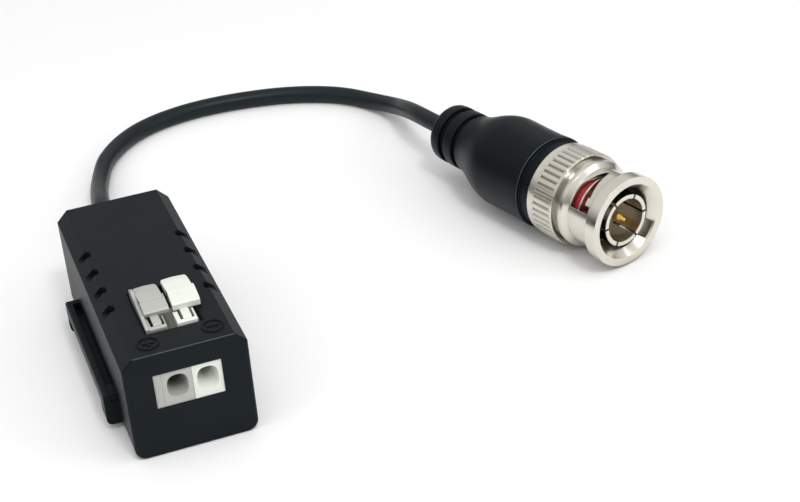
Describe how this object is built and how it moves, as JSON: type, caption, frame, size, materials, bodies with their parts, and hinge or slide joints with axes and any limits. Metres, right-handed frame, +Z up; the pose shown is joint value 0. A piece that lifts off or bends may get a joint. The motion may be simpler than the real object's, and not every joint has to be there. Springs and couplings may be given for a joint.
{
  "type": "video balun",
  "caption": "Small black box with a two-lever wire terminal, a side rail and a short lead to a bayonet plug, for sending a camera picture over a twisted pair.",
  "frame": {"origin": "centre of the box's underside", "axes": "+X across the terminal face, +Y from the terminal face to the cable exit, +Z up"},
  "size_m": [0.089, 0.0981, 0.0181],
  "materials": {
    "housing_black": "fine matt texture",
    "grey_plastic": "satin",
    "white_plastic": "satin",
    "spring_steel": "bright",
    "tinned_metal": "tinned",
    "board": "solder mask",
    "ferrite": "matt",
    "copper_wire": "enamelled",
    "ceramic": "glazed",
    "capacitor_blue": "dipped",
    "cable_black": "satin",
    "boot_black": "satin",
    "nickel": "nickel plated",
    "insulator_white": "satin",
    "gilt": "gold plated",
    "gasket_red": "silicone"
  },
  "bodies": {
    "root": {"housing_cover": "housing_black", "housing_base": "housing_black", "terminal_body_grey": "grey_plastic", "terminal_end_plate": "grey_plastic", "terminal_body_white": "white_plastic", "clamp_spring_grey": "spring_steel", "clamp_spring_white": "spring_steel", "wave_spring": "spring_steel", "retaining_clip": "spring_steel", "contact_grey": "tinned_metal", "contact_white": "tinned_metal", "circuit_board": "board", "toroid_core": "ferrite", "winding_pair_side": "copper_wire", "winding_cable_side": "copper_wire", "surge_arrester": "ceramic", "disc_capacitor": "capacitor_blue", "chip_resistors": "ferrite", "cable_grommet": "cable_black", "cable_tail": "cable_black", "video_cable": "cable_black", "cable_core": "cable_black", "plug_boot": "boot_black", "plug_body": "nickel", "crimp_ferrule": "nickel", "gasket_ring": "nickel", "plug_insulator": "insulator_white", "centre_pin": "gilt", "plug_gasket": "gasket_red"},
    "lever_grey": {"lever_grey": "grey_plastic"},
    "lever_white": {"lever_white": "white_plastic"},
    "washer": {"slip_washer": "spring_steel"},
    "collar": {"coupling_collar": "nickel"}
  },
  "joints": [
    {"name": "lever_grey_press", "type": "hinge", "parent": "root", "child": "lever_grey", "pos_m": [-0.00195, -0.01515, 0.0141], "axis": [-1, 0, 0], "range_deg": [0, 9], "stiffness_Nm_per_rad": 0.3, "deforming": ["clamp_spring_grey"]},
    {"name": "lever_white_press", "type": "hinge", "parent": "root", "child": "lever_white", "pos_m": [0.00215, -0.01515, 0.0141], "axis": [-1, 0, 0], "range_deg": [0, 9], "stiffness_Nm_per_rad": 0.3, "deforming": ["clamp_spring_white"]},
    {"name": "collar_slide", "type": "slide", "parent": "root", "child": "washer", "axis": [0.2982, -0.9545, 0], "range_m": [0, 0.0008], "stiffness_N_per_m": 3000, "deforming": ["wave_spring"]},
    {"name": "collar_turn", "type": "hinge", "parent": "washer", "child": "collar", "pos_m": [0.07166, -0.0067, 0.0076], "axis": [0.2982, -0.9545, 0], "continuous": true}
  ]
}
